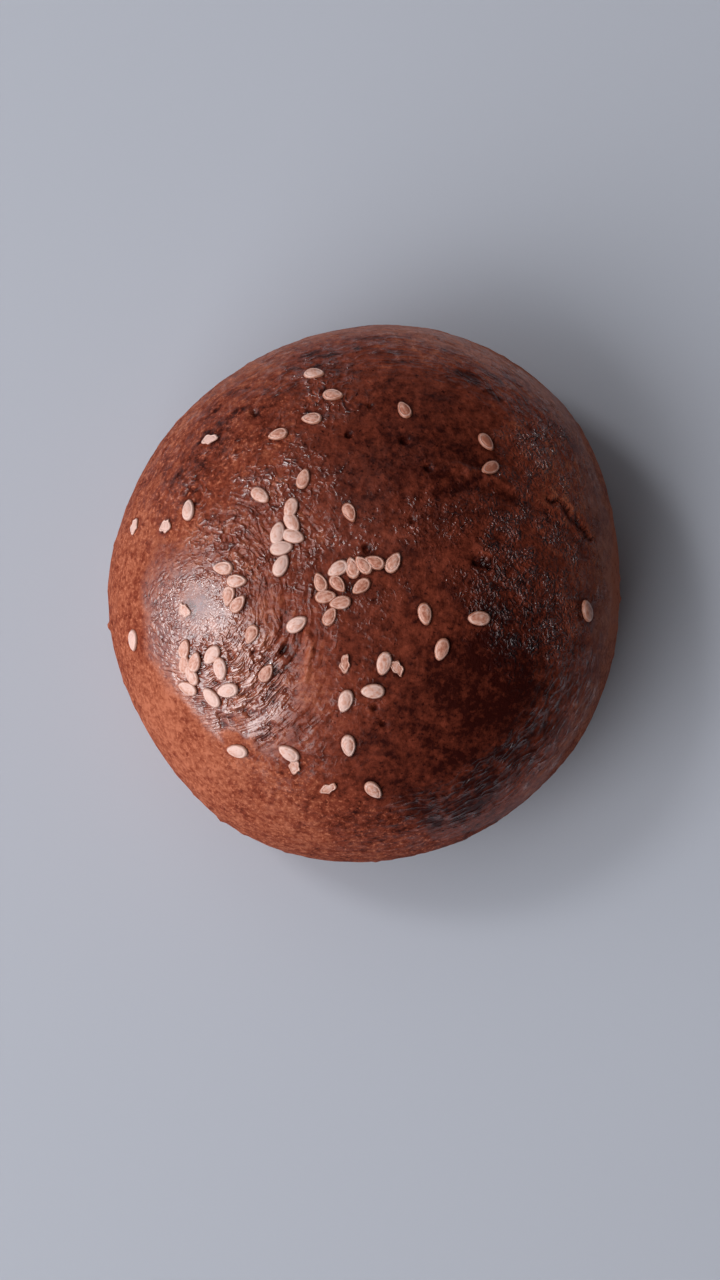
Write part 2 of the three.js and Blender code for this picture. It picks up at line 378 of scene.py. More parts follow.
# Nets of wrinkles: the names of their strength and of the places that they run over, lines for each unit,
# depth of the valley along a line, its painted shade, and the gloss between the lines, or else on them
NET_KEYS = ("strength", "places", "lines", "depth", "dark", "gloss_off", "gloss_on")
WRINKLE_NETS = [
    ("wrinkle", "lobe", 1.0, 3, 0.8, 0, 0),
    ("scaly", "lobe", 0.45, 4.5, 0.9, 0, 0),
    ("rim", "brush", 0.7, -2, 0, 0.06, 0.6),
    ("sparkle", "spot", 1.2, -6, 0, 0, 0.5),
    ("glint", "spot", 0.8, -3.5, 0, 0, 1),
]
LINE_WIDTH = 0.1  # of the line itself, in steps of the noise that draws the net
FOLD_WIDTH = 0.24  # of the whole valley
LINE_NOISE = (1.0, 0.4, 0.4)  # detail, roughness and distortion
NOISE_MIDDLE = 0.5
NOISE_RANGE = (0.3, 0.7)  # where most of a noise's values lie

# Crust material, whose noises are given by their bumps for each millimetre, detail and roughness
COAT_ROUGHNESS = 0.19
COAT_IOR = 2.3
SPECULAR_LEVEL = 0.05
CRUST_ROUGHNESSES = (0.6, 0.8)  # of washed and of bare crust
GRAIN_NOISE = (1.2, 4.0, 0.7)
MOTTLE_NOISE = (0.35, 2.0, 0.5)
CLOUD_NOISE = (0.9, 3.0, 0.6)
SPECK_NOISE = (1.9, 2.0, 0.6)
UNEVEN_NOISE = (0.5, 2.0, 0.5)
UNEVEN_STRENGTHS = (0.35, 0.65, 0.4, 1.4)  # noise from and to, strength of the wrinkles from and to
MOTTLE_BROWNINGS = (-0.12, 0.12)
CLOUD_BROWNINGS = (-0.15, 0.15)
# pale specks on the bare crust, partly painted glints
PALE_SPECKS_AND_GLINTS = (0.44, 0.3, 0, 0.5)  # noise from and to, paling from and to
DARK_SPECKS = (0.61, 0.72, 0, 0.3)  # noise from and to, darkening from and to
SPECK_CONTRASTS = (1, 0.5)  # of dark specks on washed and on bare crust
GRAIN_CONTRASTS = (0.7, 1.3)  # of the grain on washed and on bare crust
# painted shade in the valleys of the wrinkles
VALLEY_PAINTED_SHADE = 0.4  # in the valleys of the wrinkles
SUNK_GLOSS = 0.5  # share of the gloss that is left there
FILM_GRAIN = 0.4  # height of the grain in the wash
CRUST_GRAIN = 1.0  # what the crust under it adds to that
CRUST_BUMP_DEPTH = 0.1
CRUST_COLOURS = [
    (0.0, (0.46, 0.14, 0.075)),
    (0.3, (0.305, 0.077, 0.038)),
    (0.5, (0.21, 0.04, 0.02)),
    (0.75, (0.113, 0.0195, 0.0095)),
    (1.0, (0.03, 0.0035, 0.002)),
]

# Seed material
SEED_STREAK_NOISE = (1.0, 3.0, 0.6)
SEED_STREAK_TINTS = (-0.55, 0.55)
SEED_ROUGHNESSES = (0.3, 0.45)
SEED_BUMP_DEPTH = 0.05
SEED_COLOURS = [(0.0, (0.42, 0.14, 0.085)), (0.5, (0.63, 0.3, 0.215)), (1.0, (0.74, 0.47, 0.4))]
SEED_RIM_SHARES = [(0.66, 0), (0.8, 0.4), (0.9, 0)]  # way to the edge, and share of the rim's colour
SEED_RIM_COLOUR = (0.82, 0.6, 0.52, 1)
# Painted shade on a seed's sides, which curve down away from the light: they are darkened towards this colour
SEED_SIDE_SHADE_SHARES = (0.86, 1, 0, 0.8)  # way from and to, share of the edge's colour from and to
SEED_SIDE_SHADE_COLOUR = (0.3, 0.11, 0.06, 1)

# Meshes
CRUST_CUTS = 125  # cuts along each edge of the cube that is blown up to the crust
WIDEST_POLAR = math.radians(122)  # of the widest outline on that ball, so that the dome gets most squares
SECTION_STEPS = 1500
SEED_SIDES = 30
SEED_RINGS = [0.25, 0.45, 0.58, 0.67, 0.74, 0.81, 0.88, 0.94, 0.98, 1.0]  # shares of the way to its edge

# Floor and camera
FLOOR_SIZE = 6  # metres
FLOOR_GAP = 0.05  # under the base, so that the two faces don't lie in one plane
FLOOR_COLOUR = (0.5, 0.52, 0.585, 1)
FLOOR_ROUGHNESS = 0.55
CAMERA_ELEVATION = 86
CAMERA_DISTANCE = 500
CAMERA_LENS = 90.4
CAMERA_AIM = (-0.7, -7.4, WIDEST_LEVEL)  # from the middle of the footprint

# Lights: colour, azimuth, elevation, size in metres, power and whether the wash mirrors it
DAYLIGHT = (0.97, 0.98, 1.0)
BLUE_SKY = (0.4, 0.75, 1.0)
LIGHTS = [
    ("window", DAYLIGHT, 188, 33, 1.8, 14, True),
    ("pane", BLUE_SKY, 180, 31, 0.3, 0.5, True),
    ("wall", DAYLIGHT, 224, 36, 1.5, 18, True),
    ("lamp", DAYLIGHT, 150, 50, 0.28, 4.5, True),
    ("fill", DAYLIGHT, 125, 55, 1.4, 3.5, False),
]
LIGHT_DISTANCE = 1.6  # metres

# The room round the loaf: how bright it is at heights from the horizon to overhead, and its tint
ROOM_SHADES = [(0.0, 0.35), (0.12, 0.22), (0.28, 0.1), (0.5, 0.09), (1.0, 0.1)]
ROOM_TINT = (1, 0.96, 0.95)
ROOM_STRENGTHS = (-0.5, 0.4, 1.3, 0.15)  # X of the direction from and to, strength from and to


def smooth_step(value, low, high):
    share = np.clip((value - low) / (high - low), 0, 1)
    return share * share * (3 - 2 * share)


def fading(distance, reach):
    """1 at the middle of a soft spot, and less the farther from it"""
    return np.exp(-0.5 * (distance / reach) ** 2)


def noise_at(points, wavelength, offset):
    """Smooth noise between about -1 and 1 at each point, with bumps of that wavelength"""
    scaled = points / wavelength + offset
    return np.array([noise.noise(place) for place in scaled.tolist()])


def noise_sum(points, bumps):
    return sum(height * noise_at(points, wavelength, offset) for wavelength, offset, height in bumps)


def uneven_share(points, bumps, least, low, high):
    """1 where the noises add up to the high value, falling to the least share at the low one"""
    return least + (1 - least) * smooth_step(noise_sum(points, bumps), low, high)


def outline_radius(bearing):
    share = 1.0
    for lobes, swell, first in OUTLINE_WAVES:
        share = share + swell * np.cos(lobes * (bearing - math.radians(first)))
    return MEAN_RADIUS * share


def outline_inset(points):
    """How far inside the widest outline each point lies in plan"""
    bearing = np.arctan2(points[:, 1], points[:, 0])
    return outline_radius(bearing) - np.hypot(points[:, 0], points[:, 1])


def plan_distance(points, middle):
    return np.hypot(points[..., 0] - middle[0], points[..., 1] - middle[1])


def distance_to_line(points, line):
    """Plan distance from each point to a line through a few places"""
    nearest = np.full(len(points), np.inf)
    for start, end in zip(line, line[1:]):
        along = np.subtract(end, start)
        share = np.clip(((points[:, :2] - start) @ along) / (along @ along), 0, 1)
        foot = start + share[:, None] * along
        nearest = np.minimum(nearest, np.hypot(*(points[:, :2] - foot).T))
    return nearest


def patch_strength(points, patches):
    """Strength of soft-edged patches at each point, from 0 to 1"""
    strength = np.zeros(len(points))
    for middle, reach, height in patches:
        strength += height * fading(plan_distance(points, middle), reach)
    return np.clip(strength, 0, 1)


def with_broad_relief(points):
    """Moves points of the smooth form out or in by the swells and dents that reach them"""
    rise = 0.0
    for middle, reach, height in CRUST_RELIEFS:
        rise = rise + height * fading(plan_distance(points, middle), reach)
    rise = rise * smooth_step(points[..., 2], 0, RELIEF_FADE)
    outward = points - (0, 0, WIDEST_LEVEL)
    outward = outward / np.linalg.norm(outward, axis=-1, keepdims=True)
    return points + outward * rise[..., None]


def dome_point(x, y):
    """Point of the dome above a place in plan"""
    share = np.hypot(x, y) / outline_radius(np.arctan2(y, x))
    level = math.sqrt(1 - share ** SHOULDER_POWER)
    return with_broad_relief(np.array((x, y, WIDEST_LEVEL + (CROWN_HEIGHT - WIDEST_LEVEL) * level)))


def section_table():
    """The section from the crown to the base's middle: polar angle on a ball, outline share, level and arc"""
    dome = np.linspace(math.pi / 2, 0, SECTION_STEPS)
    flank = np.linspace(0, -math.pi / 2, SECTION_STEPS)[1:]
    base = np.linspace(FOOT_SHARE, 0, SECTION_STEPS)[1:]
    flank_share = FOOT_SHARE + (1 - FOOT_SHARE) * np.cos(flank)
    share = np.concatenate((np.cos(dome) ** (2 / SHOULDER_POWER), flank_share, base))
    dome_level = WIDEST_LEVEL + (CROWN_HEIGHT - WIDEST_LEVEL) * np.sin(dome)
    level = np.concatenate((dome_level, WIDEST_LEVEL * (1 + np.sin(flank)), 0 * base))
    radius = MEAN_RADIUS * share
    step = np.hypot(np.diff(radius), np.diff(level))
    stretch = np.concatenate(([0], np.cumsum(2 * step / (radius[1:] + radius[:-1]))))
    stretch -= stretch[SECTION_STEPS - 1]
    polar = 2 * np.arctan(math.tan(WIDEST_POLAR / 2) * np.exp(stretch))
    polar[0] = 0
    polar[-1] = math.pi
    return polar, share, level, np.concatenate(([0], np.cumsum(step)))


def ball_mesh(name):
    """A cube blown up to a ball of even squares, as a new mesh and the directions of its corners"""
    cube = bmesh.new()
    bmesh.ops.create_cube(cube, size=2)
    bmesh.ops.subdivide_edges(cube, edges=cube.edges[:], cuts=CRUST_CUTS, use_grid_fill=True)
    mesh = bpy.data.meshes.new(name)
    cube.to_mesh(mesh)
    cube.free()
    corners = np.empty(len(mesh.vertices) * 3)
    mesh.vertices.foreach_get("co", corners)
    directions = np.tan(corners.reshape(-1, 3) * math.pi / 4)
    return mesh, directions / np.linalg.norm(directions, axis=1, keepdims=True)


def smooth_form(directions):
    """The loaf's smooth form in those directions, with each point's bearing and its way from the crown"""
    polar, shares, levels, arcs = section_table()
    own_polar = np.arccos(np.clip(directions[:, 2], -1, 1))
    bearing = np.arctan2(directions[:, 1], directions[:, 0])
    radius = outline_radius(bearing) * np.interp(own_polar, polar, shares)
    level = np.interp(own_polar, polar, levels)
    points = np.stack((radius * np.cos(bearing), radius * np.sin(bearing), level), axis=1)
    return with_broad_relief(points), bearing, np.interp(own_polar, polar, arcs)


def set_places(mesh, points):
    mesh.vertices.foreach_set("co", points.astype(np.float32).ravel())
    mesh.update()


def normals_of(mesh):
    normals = np.empty(len(mesh.vertices) * 3)
    mesh.vertices.foreach_get("normal", normals)
    return normals.reshape(-1, 3)


def band_share(inset, width, edge):
    """1 inside a band of that width along the outline, falling to 0 over its edge"""
    begin, full = edge
    return smooth_step(inset, begin * width + LEAST_EDGE, full * width)


def flank_shares(points, bearing):
    """How dull and how pale the unwashed flank is: 1 at the outline and below, and 0 on the dome"""
    width = np.interp(np.degrees(bearing), BARE_BEARINGS, BARE_WIDTHS)
    ragged = noise_sum(points, BARE_EDGE)
    inset = outline_inset(points) + np.minimum(1, width / RAGGED_WIDTH) * ragged
    below_widest = smooth_step(points[:, 2] + ragged, WIDEST_LEVEL + FLANK_FADE, WIDEST_LEVEL - FLANK_FADE)
    dull = np.maximum(band_share(inset, width, DULL_EDGE), below_widest)
    pale = np.maximum(band_share(inset, width, PALE_EDGE), below_widest)
    return dull, pale


def matte_share(points):
    """1 where the dome's crust is dull, in the pits and in the matte patches"""
    matte = smooth_step(patch_strength(points, MATTE_PATCHES) + noise_sum(points, MATTE_EDGE), *MATTE_STEP)
    for middle, radius, _ in PITS:
        pit = smooth_step(plan_distance(points, middle), PIT_DULL_REACH * radius, radius)
        matte = np.maximum(matte, pit)
    return matte


def rim_share(points, bearing):
    """How wrinkled the shoulder is along the outline, fading out towards the crown and the base"""
    strength = np.interp(np.degrees(bearing), RIM_BEARINGS, RIM_STRENGTHS)
    above = smooth_step(points[:, 2] - WIDEST_LEVEL, -RIM_DROPS[0], -RIM_DROPS[1])
    return strength * smooth_step(outline_inset(points), *RIM_INSETS) * above


def rim_gloss(points, bearing):
    """Gloss of the stretches of the shoulder where the wash has run down to the outline"""
    gloss = 0.0
    for middle, reach in GLOSSY_RIMS:
        turned = np.degrees(np.angle(np.exp(1j * (bearing - math.radians(middle)))))
        gloss = gloss + fading(turned, reach)
    return gloss * smooth_step(outline_inset(points), *GLOSSY_RIM_INSETS)


def crust_masks(points, bearing, rim, dull):
    """Where the crust is bare, how glossy it is, and the strength of each kind of wrinkle"""
    bare = np.maximum(dull, matte_share(points))
    wash = patch_strength(points, WRINKLED_PATCHES)
    clumps = uneven_share(points, *GLOSSY_CLUMPS)
    core = fading(plan_distance(points, LOBE_MIDDLE), LOBE_SMOOTH_REACH)
    thin = SKIN_GLOSS + THIN_GLOSS * patch_strength(points, WASHED_PATCHES) * clumps
    washed = wash ** WASH_FALL * (1 + CORE_GLOSS * core)
    gloss = np.clip(thin + washed + RUN_GLOSS * rim_gloss(points, bearing), 0, 1)
    wrinkled = (1 - core) * (1 - bare) * uneven_share(points, *SMOOTH_ISLANDS)
    sharp = clumps * (1 - DRY_FADING * bare)
    return {
        "bare": bare,
        "gloss": gloss * (1 - bare),
        "rim": rim * (1 - RIM_DRY_FADING * bare) * smooth_step(outline_inset(points), *RIM_EDGE),
        "wrinkle": np.maximum(wash, LEAST_WRINKLES) * wrinkled,
        "scaly": patch_strength(points, SCALY_PATCHES) * wrinkled,
        "sparkle": patch_strength(points, SPARKLING_PATCHES) * sharp,
        "glint": patch_strength(points, GLINTING_PATCHES) * sharp,
    }


def ring_places(bearing, radius, across):
    """Noise places for lines round a middle: on a ring by their bearing, and apart across the lines"""
    return np.stack((radius * np.cos(bearing), radius * np.sin(bearing), across), axis=1)


def line_places(points, bearing, arc):
    """Noise places for lines along the outline, for lines round the left lobe, and for lines any way"""
    warp = noise_sum(points, LINE_WARP)
    offset = points[:, :2] - LOBE_MIDDLE
    lobe_bearing = np.arctan2(offset[:, 1], offset[:, 0])
    return {
        "brush": ring_places(bearing, BRUSH_RING, BRUSH_STEP * (arc + warp)),
        "lobe": ring_places(lobe_bearing, LOBE_RING, LOBE_STEP * (np.hypot(*offset.T) + warp)),
        "spot": points,
    }


def folds(places, wavelength, offset):
    """Rounded folds with sharp valleys between them, from about -0.5 to 1"""
    return 3 * np.abs(noise_at(places, wavelength, offset)) - 0.5


def wandering(points):
    """The points moved a little sideways in plan, so that a line drawn through them looks ragged"""
    shift = (noise_sum(points, WANDER_ALONG_X), noise_sum(points, WANDER_ALONG_Y), 0 * points[:, 2])
    return points + np.stack(shift, axis=1)


def mark_relief(points):
    """Rise of the pits, creases, ridges and nubs"""
    rise = np.zeros(len(points))
    broken = 1 + noise_sum(points, BROKEN_LINE)
    for middle, radius, depth in PITS:
        rise -= depth * np.exp(-(plan_distance(points, middle) * broken / radius) ** 4)
    wandered = wandering(points)
    for line, width, height in CREASES:
        rise += height * broken * np.exp(-(distance_to_line(wandered, line) / width) ** 2)
    for turn, height in NUBS:
        turn = math.radians(turn)
        radius = outline_radius(turn)
        place = (radius * math.cos(turn), radius * math.sin(turn), WIDEST_LEVEL)
        rise += height * np.exp(-(np.linalg.norm(points - place, axis=1) / NUB_RADIUS) ** 2)
    return rise


def grain_relief(points):
    """Rise of the unwashed crust's grains"""
    grains = noise_at(points, *GRAIN_WAVE)
    rise = GRAIN_RISE * grains + LUMP_RISE * smooth_step(grains, *LUMP_STEP)
    return rise * smooth_step(points[:, 2], 0, GRAIN_FADE)


def fine_relief(points, masks, places, rim):
    """Rise of the crust's wrinkles, grains and small marks above the broad form"""
    upper = smooth_step(points[:, 2], *RELIEF_LEVELS)
    rise = upper * (noise_sum(points, CRUST_BUMPS) + mark_relief(points))
    for mask, place, wavelength, offset, height in WRINKLE_FOLDS:
        rise += masks[mask] * height * folds(places[place], wavelength, offset)
    for mask, bumps in WRINKLE_BUMPS:
        rise += masks[mask] * noise_sum(points, bumps)
    rise += rim * smooth_step(outline_inset(points), *RIM_BUMP_INSETS) * noise_sum(points, RIM_BUMPS)
    return rise + masks["bare"] * grain_relief(points)


def painted_seed_shadow(points):
    """Painted contact shadow: how much the crust is darkened as shade beside the seeds, most under them and
    nothing a short way off
    """
    near = np.zeros(len(points))
    for size, _, x, y, tip in seed_places():
        turn = math.radians(tip)
        offset = points[:, :2] - (x, y)
        along = offset @ (math.cos(turn), math.sin(turn)) / (size["length"] / 2)
        across = offset @ (-math.sin(turn), math.cos(turn)) / (size["width"] / 2)
        near = np.maximum(near, smooth_step(np.hypot(along, across), SEED_CONTACT_SHADE_REACH, 1))
    upper = smooth_step(points[:, 2], WIDEST_LEVEL - SEED_CONTACT_SHADE_FADE, WIDEST_LEVEL + SEED_CONTACT_SHADE_FADE)
    return near * (SEED_CONTACT_SHADE_MEAN + noise_sum(points, SEED_CONTACT_SHADE_BUMPS)) * upper


def mark_shade_and_paling(points):
    """Painted shade that darkens the pits and creases, and how much paler the ridges are"""
    change = np.zeros(len(points))
    for middle, radius, _ in PITS:
        change += PIT_PAINTED_SHADE * np.exp(-(plan_distance(points, middle) / radius) ** 2)
    wandered = wandering(points)
    for line, width, height in CREASES:
        factor = CREASE_PAINTED_SHADE if height < 0 else RIDGE_PALING
        change -= factor * height * np.exp(-(distance_to_line(wandered, line) / width) ** 2)
    return change


def browning_and_shade(points, pale, rim, brush):
    """How dark the crust is, from 0 at its palest to 1: its tones, with painted shade in the pits, creases
    and round the seeds
    """
    turn = math.radians(DARK_BEARING)
    dark_side = points[:, :2] @ (math.cos(turn), math.sin(turn)) / MEAN_RADIUS
    outer = smooth_step(outline_inset(points), *RIM_PALE_INSETS)
    on_dome = DARK_SIDE_BROWNING * dark_side - RIM_PALING * rim * outer
    dark = BROWNING - FLANK_PALING * pale + on_dome * (1 - pale)
    for middle, reach, change in TONE_PATCHES:
        dark += change * fading(plan_distance(points, middle), reach)
    streaks = smooth_step(noise_at(brush, *STREAK_WAVE), *STREAK_STEP)
    streaked = rim * (1 - outer) * smooth_step(points[:, 1], *STREAK_SIDE)
    dark += STREAK_BROWNING * streaked * streaks
    # painted shade in the pits, creases and round the seeds, paler ridges, and random clouds of tone
    dark += mark_shade_and_paling(points) + SEED_CONTACT_SHADE_DARKENING * painted_seed_shadow(points) + noise_sum(points, BAKED_CLOUDS)
    return np.clip(dark, 0, 1)


def onto_frame(points, all_points):
    """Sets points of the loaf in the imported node's box, over its middle and down on its base, in metres"""
    low, high = (np.array(corner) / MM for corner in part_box("loaf"))
    least = all_points.min(axis=0)
    most = all_points.max(axis=0)
    shrink = np.minimum(1, (high - low) / (most - least))
    foot = np.append((least + most)[:2] / 2, least[2])
    target = np.append((low + high)[:2] / 2, low[2])
    return ((points - foot) * shrink + target) * MM


def store(mesh, name, values):
    """Keeps a value, or a vector, of each corner for the material"""
    kind, key = ("FLOAT", "value") if values.ndim == 1 else ("FLOAT_VECTOR", "vector")
    mesh.attributes.new(name, kind, "POINT").data.foreach_set(key, values.astype(np.float32).ravel())


def make_crust():
    mesh, directions = ball_mesh("crust")
    points, bearing, arc = smooth_form(directions)
    set_places(mesh, points)
    rim = rim_share(points, bearing)
    dull, pale = flank_shares(points, bearing)
    masks = crust_masks(points, bearing, rim, dull)
    places = line_places(points, bearing, arc)
    rise = fine_relief(points, masks, places, rim)
    finished = points + normals_of(mesh) * rise[:, None]
    finished[:, 2] = np.maximum(finished[:, 2], 0)
    # the stored darkness holds painted shade as well as the crust's tones
    masks["brown"] = browning_and_shade(points, pale, rim, places["brush"])
    for name, values in {**masks, **places}.items():
        store(mesh, name, values)
    return mesh, finished


def scatter(index, channel):
    """A repeatable scatter between -1 and 1 for one seed's place, size or shape"""
    return math.sin(SCATTER_WAVE[0] * index + SCATTER_WAVE[1] * channel + SCATTER_WAVE[2])


def seed_places():
    """Every seed as its size, whether it is broken, its place in plan and its tip's bearing"""
    places = []
    for runs, size, broken in ((SEED_RUNS, WHOLE_SEED, 0), (FLAKE_RUNS, HULL_FLAKE, 1)):
        for start, end, count, tips in runs:
            for share in np.linspace(0, 1, count):
                index = len(places)
                x = start[0] + (end[0] - start[0]) * share + PLACE_SPREAD * scatter(index, ALONG_X)
                y = start[1] + (end[1] - start[1]) * share + PLACE_SPREAD * scatter(index, ALONG_Y)
                places.append((size, broken, x, y, tips[0] + (tips[1] - tips[0]) * share))
    return places


def seed_rim(ring):
    """Rise of the thin rim round a seed's face, and the groove inside it"""
    places = (SEED_RIM_PLACE, SEED_GROOVE_PLACE)
    rim, groove = (math.exp(-((ring - way) / width) ** 2) for way, width in places)
    return SEED_RIM_RISE * (rim - groove)


def flake_edge(index, turn):
    """How far a broken flake's edge strays round it"""
    return sum(height * np.sin(waves * turn + step * index) for waves, step, height in FLAKE_WAVES)


def seed_shape(index, size, broken):
    """Corners and faces of a flat teardrop along Y, with its tip at +Y, and each corner's way to the edge"""
    turn = np.linspace(0, 2 * math.pi, SEED_SIDES, endpoint=False)
    along = np.sin(turn)
    taper = SEED_TAPER + TAPER_SPREAD * scatter(index, TAPER)
    pinch = 1 - taper * along - TIP_PINCH * taper * np.maximum(along, 0) ** 2
    ragged = 1 + broken * flake_edge(index, turn)
    own_rim = SEED_RIM_MEAN + SEED_RIM_SPREAD * scatter(index, RIM)
    own_bend = SEED_BEND * scatter(index, BEND)
    middle_rise = FACE_SHARE * size["thickness"]
    corners = [(0, 0, middle_rise)]
    ways = [0.0]
    under_rings = SEED_RINGS[-2::-2]  # every other ring is enough there
    for side, rings in ((1, SEED_RINGS), (-1, under_rings)):
        for ring in rings:
            rise = side * middle_rise * (1 - ring ** FACE_POWERS[0]) ** FACE_POWERS[1]
            if side > 0:
                rise += seed_rim(ring) * own_rim
            bend = own_bend * (ring * along) ** 2 + broken * FLAKE_CURL * ring ** 2
            x = size["width"] / 2 * ring * np.cos(turn) * pinch * ragged
            y = size["length"] / 2 * ring * along * ragged
            corners.extend(zip(x, y, rise + bend))
            ways.extend([ring] * SEED_SIDES)
    corners.append((0, 0, -middle_rise))
    ways.append(0.0)
    return np.array(corners), seed_faces(len(corners)), np.array(ways)


def seed_faces(count):
    """Faces over rings of corners, with a fan at the first and the last corner"""
    faces = []
    ring_count = (count - 2) // SEED_SIDES
    for side in range(SEED_SIDES):
        after = (side + 1) % SEED_SIDES
        faces.append((0, 1 + side, 1 + after))
        for ring in range(ring_count - 1):
            inner = 1 + ring * SEED_SIDES
            outer = inner + SEED_SIDES
            faces.append((inner + side, outer + side, outer + after, inner + after))
        last = 1 + (ring_count - 1) * SEED_SIDES
        faces.append((last + side, count - 1, last + after))
    return faces


def seed_basis(x, y, tip, reach):
    """Side, tip and normal directions of a seed that lies on the crust at a place in plan"""
    east = dome_point(x + reach, y) - dome_point(x - reach, y)
    north = dome_point(x, y + reach) - dome_point(x, y - reach)
    normal = np.cross(east, north)
    normal /= np.linalg.norm(normal)
    aim = east / np.linalg.norm(east) * math.cos(math.radians(tip))
    aim = aim + north / np.linalg.norm(north) * math.sin(math.radians(tip))
    side = np.cross(aim, normal)
    side /= np.linalg.norm(side)
    return np.stack((side, np.cross(normal, side), normal))


def seed_tint(index, broken, x):
    """How pale a seed is, with painted shade making the seeds to the right darker"""
    own = SEED_TINT + TINT_SPREAD * scatter(index, TINT) + FLAKE_TINT * broken
    return own + RIGHT_SIDE_SEED_SHADE * x / MEAN_RADIUS


def make_seeds():
    corners = []
    faces = []
    ways = []
    tints = []
    streaks = []
    laid = []
    for index, (size, broken, x, y, tip) in enumerate(seed_places()):
        scale = 1 + SIZE_SPREAD * scatter(index, SIZE)
        shape, own_faces, own_ways = seed_shape(index, size, broken)
        on_another = any(math.dist((x, y), place) < OVERLAP_REACH * size["length"] for place in laid)
        lift = size["thickness"] * scale / 2 - size["sink"] + OVERLAP_LIFT * on_another
        basis = seed_basis(x, y, tip, size["length"] / 4)
        start = sum(len(part) for part in corners)
        corners.append(dome_point(x, y) + shape * scale @ basis + lift * basis[2])
        faces.extend(tuple(start + corner for corner in face) for face in own_faces)
        ways.append(own_ways)
        tints.append(np.full(len(shape), seed_tint(index, broken, x)))
        streaks.append(shape * SEED_STREAK_SCALES + SEED_STREAK_STEP * index)
        laid.append((x, y))
    mesh = bpy.data.meshes.new("sesame")
    finished = np.concatenate(corners)
    mesh.from_pydata(finished.tolist(), [], faces)
    for name, values in (("way", ways), ("tint", tints), ("streak", streaks)):
        store(mesh, name, np.concatenate(values))
    return mesh, finished


def add_node(tree, kind, inputs=(), **settings):
    """A new node with its settings, and each input set to a value or linked to another node's output"""
    made = tree.nodes.new(kind)
    for name, value in settings.items():
        setattr(made, name, value)
    for socket, value in dict(inputs).items():
        if isinstance(value, bpy.types.NodeSocket):
            tree.links.new(value, made.inputs[socket])
        else:
            made.inputs[socket].default_value = value
    return made


def new_material(name):
    material = bpy.data.materials.new(name)
    material.use_nodes = True
    tree = material.node_tree
    return material, tree, tree.nodes["Principled BSDF"]


def attribute(tree, name, output="Fac"):
    return add_node(tree, "ShaderNodeAttribute", attribute_name=name).outputs[output]


def math_node(tree, operation, one, other=0.0):
    return add_node(tree, "ShaderNodeMath", {0: one, 1: other}, operation=operation).outputs[0]


def add_scaled(tree, one, other, factor):
    """One value plus another times a factor"""
    terms = {0: other, 1: factor, 2: one}
    return add_node(tree, "ShaderNodeMath", terms, operation="MULTIPLY_ADD").outputs[0]


def map_range(tree, value, from_low, from_high, to_low, to_high):
    ends = {"From Min": from_low, "From Max": from_high, "To Min": to_low, "To Max": to_high}
    return add_node(tree, "ShaderNodeMapRange", {"Value": value, **ends}).outputs[0]


def between(tree, share, ends):
    """The first end where the share is 0, and the second where it is 1"""
    return map_range(tree, share, 0, 1, *ends)


def spread_noise(tree, value, ends):
    """A noise stretched to lie mostly between two ends"""
    return map_range(tree, value, *NOISE_RANGE, *ends)


def noise_node(tree, places, scale, detail, roughness, distortion=0.0):
    looks = {"Detail": detail, "Roughness": roughness, "Distortion": distortion}
    sockets = {"Vector": places, "Scale": scale, **looks}
    return add_node(tree, "ShaderNodeTexNoise", sockets).outputs["Fac"]


def colour_ramp(tree, value, stops):
    ramp = add_node(tree, "ShaderNodeValToRGB", {"Fac": value})
    elements = ramp.color_ramp.elements
    while len(elements) < len(stops):
        elements.new(0.5)
    for element, (position, colour) in zip(elements, stops):
        element.position = position
        element.color = (*colour, 1.0)
    return ramp.outputs["Color"]


def mix_colours(tree, share, one, other):
    """A mix node has its two colours in sockets 6 and 7, and the mixed one in output 2"""
    return add_node(tree, "ShaderNodeMix", {0: share, 6: one, 7: other}, data_type="RGBA").outputs[2]


def bump_node(tree, height, depth):
    return add_node(tree, "ShaderNodeBump", {"Height": height, "Distance": depth * MM}).outputs["Normal"]


def millimetre_places(tree):
    """Places on the object in millimetres, so that a noise scale is bumps for each millimetre"""
    places = add_node(tree, "ShaderNodeTexCoord").outputs["Object"]
    scaling = {0: places, "Scale": 1 / MM}
    return add_node(tree, "ShaderNodeVectorMath", scaling, operation="SCALE").outputs[0]


def off_line(tree, places, lines):
    """0 on a net of wandering lines, and more the farther from them"""
    value = noise_node(tree, places, lines, *LINE_NOISE)
    return math_node(tree, "ABSOLUTE", math_node(tree, "SUBTRACT", value, NOISE_MIDDLE))


def valleys(tree, off, width):
    """1 on such lines, falling to 0 at that width beside them"""
    return map_range(tree, off, 0, width, 1, 0)


def wrinkle_nets(tree, places):
    """How far the nets' lines are sunk and darkened with painted shade, the height that they add, and the
    gloss
    """
    uneven = map_range(tree, noise_node(tree, places, *UNEVEN_NOISE), *UNEVEN_STRENGTHS)
    sunk = 0.0
    height = 0.0
    shine = 0.0
    for row in WRINKLE_NETS:
        net = dict(zip(NET_KEYS, row))
        line = off_line(tree, attribute(tree, net["places"], "Vector"), net["lines"])
        strength = math_node(tree, "MULTIPLY", attribute(tree, net["strength"]), uneven)
        thin = math_node(tree, "MULTIPLY", valleys(tree, line, LINE_WIDTH), strength)
        broad = math_node(tree, "MULTIPLY", valleys(tree, line, FOLD_WIDTH), strength)
        sunk = add_scaled(tree, sunk, thin, net["dark"])
        height = add_scaled(tree, height, broad, -net["depth"])
        shine = add_scaled(tree, shine, strength, net["gloss_off"])
        shine = add_scaled(tree, shine, thin, net["gloss_on"] - net["gloss_off"])
    return sunk, height, shine


